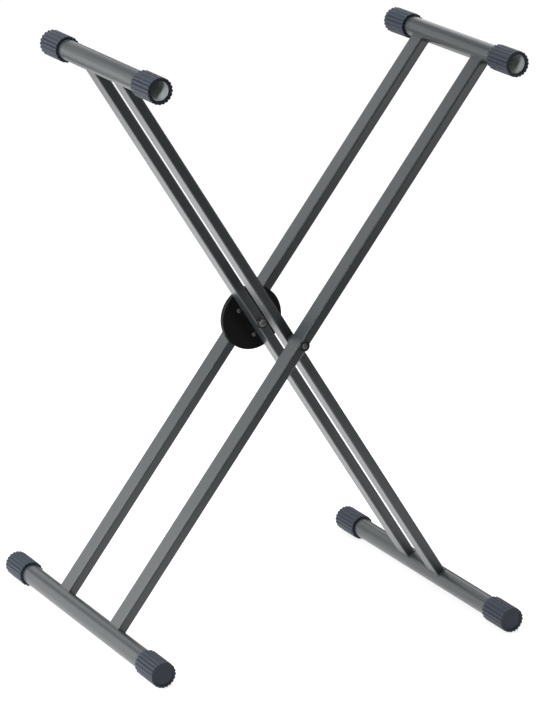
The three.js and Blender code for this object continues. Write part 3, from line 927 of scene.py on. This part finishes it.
thrust_bore = 0.0043
thrust_radius = 0.013
thrust_edge = 0.0004
thrust_sides = 80
insert_flats = 0.0065  # from the axis to a flat
insert_bore = 0.00405
knob_radius = 0.016
knob_lobes = hexagon_corners  # one over each corner of the insert
knob_lobe_steps = 24
knob_lobe_depth = 0.003
knob_edge = 0.0022
knob_foot_edge = 0.0010
knob_pocket = 0.00655
knob_pocket_depth = 0.0152
knob_pocket_mouth = 0.0003
knob_pocket_edge = 0.0002

knob_plastic = finish_material(
    "black glass-filled nylon", colour=(0.012, 0.012, 0.013), roughness=0.5, metal=0.0, grain_size=0.0007,
    relief=0.00003, worn_colour=(0.04, 0.04, 0.042), edge_width=0.0012, wear=0.3)

washer_low, washer_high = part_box("thrust_washer")
low_y, high_y = washer_low.y - clamp_reach, washer_high.y + clamp_reach
outline = [(thrust_bore, low_y), (thrust_radius, low_y), (thrust_radius, high_y), (thrust_bore, high_y)]
washer = made_object("thrust_washer_turned", turned(softened(outline, thrust_edge), thrust_sides))
fitted(washer, frame_place("outer"), dark_steel, "thrust_washer", "dark_steel", "thrust_washer")

knob_low, knob_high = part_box("clamping_knob")
insert_low, insert_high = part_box("knob_insert")


def knob_outline(share):
    height = knob_high.y - knob_low.y
    reach = knob_radius - knob_lobe_depth / 2 * (1 - cos(share * pi))
    pocket = hexagon_radius(knob_pocket, share)
    outline = [(pocket, 0, knob_pocket_mouth), (reach, 0, knob_foot_edge), (reach, height), (0, height),
               (0, knob_pocket_depth), (pocket, knob_pocket_depth, knob_pocket_edge)]
    return softened(outline, knob_edge, steps=5)


def insert_outline(share):
    height = insert_high.y - insert_low.y
    return nut_outline(insert_bore, insert_flats, height, share) + [(insert_bore, height)]


knob = round_pattern("clamping_knob_moulded", knob_outline, knob_lobes, knob_lobe_steps, knob_plastic)
fitted(knob, frame_place("outer") @ Matrix.Translation((0, knob_low.y, 0)) @ hexagon_turn,
       knob_plastic, "clamping_knob", "knob_plastic", "clamping_knob", crisp=moulded_crisp)
insert = round_pattern("knob_insert_turned", insert_outline, hexagon_corners, nut_steps, gear_steel)
fitted(insert, frame_place("outer") @ Matrix.Translation((0, insert_low.y, 0)) @ hexagon_turn,
       gear_steel, "clamping_knob", "gear_steel", "knob_insert", crisp=cut_crisp)


# ---- Floor, backdrop and lamps ----------------------------------------------------------------------------
# A plain pale studio floor that the camera sees as white, with the stand's own soft shadow on it. The paper
# lies bright round the stand and ends in a darker room.

floor_size = 30.0
paper_middle = (0, 0.4, 0)
paper_radius = 0.9  # fully bright up to here
paper_end = 1.8  # and gone from here
paper_tone, room_tone = 0.5, 0.08
near_lift = 0.72  # what the camera sees added on the paper, where the lamps do the rest
world_light = 0.10

floor_shape = bmesh.new()
bmesh.ops.create_grid(floor_shape, x_segments=1, y_segments=1, size=floor_size / 2)
floor = made_object("studio_floor", floor_shape)

pale = bpy.data.materials.new("pale studio floor")
pale.use_nodes = True
tree = pale.node_tree
tree.nodes.clear()
rays = node(tree, "ShaderNodeLightPath")
place = node(tree, "ShaderNodeTexCoord").outputs["Object"]
away = node(tree, "ShaderNodeVectorMath", {0: place, 1: paper_middle}, operation="DISTANCE")
paper = node(tree, "ShaderNodeMapRange",
             {"Value": away.outputs["Value"], "From Min": paper_radius, "From Max": paper_end,
              "To Min": 1.0, "To Max": 0.0})
indirect = node(tree, "ShaderNodeMath",
                {0: rays.outputs["Is Glossy Ray"], 1: rays.outputs["Is Transmission Ray"]},
                operation="MAXIMUM")
mirrored = node(tree, "ShaderNodeMath", {0: indirect.outputs[0], 1: paper.outputs[0]}, operation="MULTIPLY")
white = node(tree, "ShaderNodeMapRange", {"Value": paper.outputs[0], "To Min": 1.0, "To Max": near_lift})
seen = node(tree, "ShaderNodeMath", {0: rays.outputs["Is Camera Ray"], 1: white.outputs[0]},
            operation="MULTIPLY")
lift = node(tree, "ShaderNodeMath", {0: mirrored.outputs[0], 1: 1.0, 2: seen.outputs[0]},
            operation="MULTIPLY_ADD")
tone = node(tree, "ShaderNodeMapRange",
            {"Value": paper.outputs[0], "To Min": room_tone, "To Max": paper_tone})
matt = node(tree, "ShaderNodeBsdfDiffuse", {"Color": tone.outputs[0]})
glow = node(tree, "ShaderNodeEmission", {"Strength": lift.outputs[0]})
both = node(tree, "ShaderNodeAddShader", {0: matt.outputs[0], 1: glow.outputs[0]})
node(tree, "ShaderNodeOutputMaterial", {"Surface": both.outputs[0]})
floor.data.materials.append(pale)

world = bpy.data.worlds.new("studio")
scene.world = world
world.use_nodes = True
world.node_tree.nodes.clear()
rays = node(world.node_tree, "ShaderNodeLightPath")
strength = node(world.node_tree, "ShaderNodeMapRange",
                {"Value": rays.outputs["Is Camera Ray"], "To Min": world_light, "To Max": 1.0})
sky = node(world.node_tree, "ShaderNodeBackground",
           {"Color": (1, 1, 1, 1), "Strength": strength.outputs[0]})
node(world.node_tree, "ShaderNodeOutputWorld", {"Surface": sky.outputs[0]})


def lamp(name, place, aim, width, height, watts):
    """A soft flat lamp at place, turned to aim, that the camera doesn't see."""
    light = bpy.data.lights.new(name, "AREA")
    light.shape = "RECTANGLE"
    light.size = width
    light.size_y = height
    light.energy = watts
    lit = bpy.data.objects.new(name, light)
    direction = Vector(aim) - Vector(place)
    lit.matrix_world = Matrix.Translation(place) @ direction.to_track_quat("-Z", "Y").to_matrix().to_4x4()
    lit.visible_camera = False
    scene.collection.objects.link(lit)


lamp("top_lamp", (0.3, 0.6, 3.0), (0, 0, 0.4), 2.0, 2.0, 75)
lamp("left_lamp", (-2.2, 0.2, 0.8), (0, 0, 0.4), 1.4, 1.4, 56)
lamp("back_left_low_lamp", (-1.45, 1.6, 0.45), (-0.3, 0, 0.4), 1.2, 0.9, 7)
lamp("back_left_high_lamp", (-1.45, 1.6, 1.35), (-0.3, 0, 0.6), 1.2, 1.2, 7)
lamp("back_lamp", (-0.05, 1.6, 1.05), (0, 0, 0.5), 1.0, 1.0, 4.5)
lamp("back_right_lamp", (1.2, 1.4, 1.3), (0, 0, 0.5), 1.2, 1.2, 8)
lamp("front_right_lamp", (1.9, -2.3, 0.35), (0.3, 0, 0.5), 0.9, 0.7, 8)
lamp("front_left_lamp", (-2.2, -1.8, 1.9), (0, 0, 0.4), 0.35, 0.35, 30)
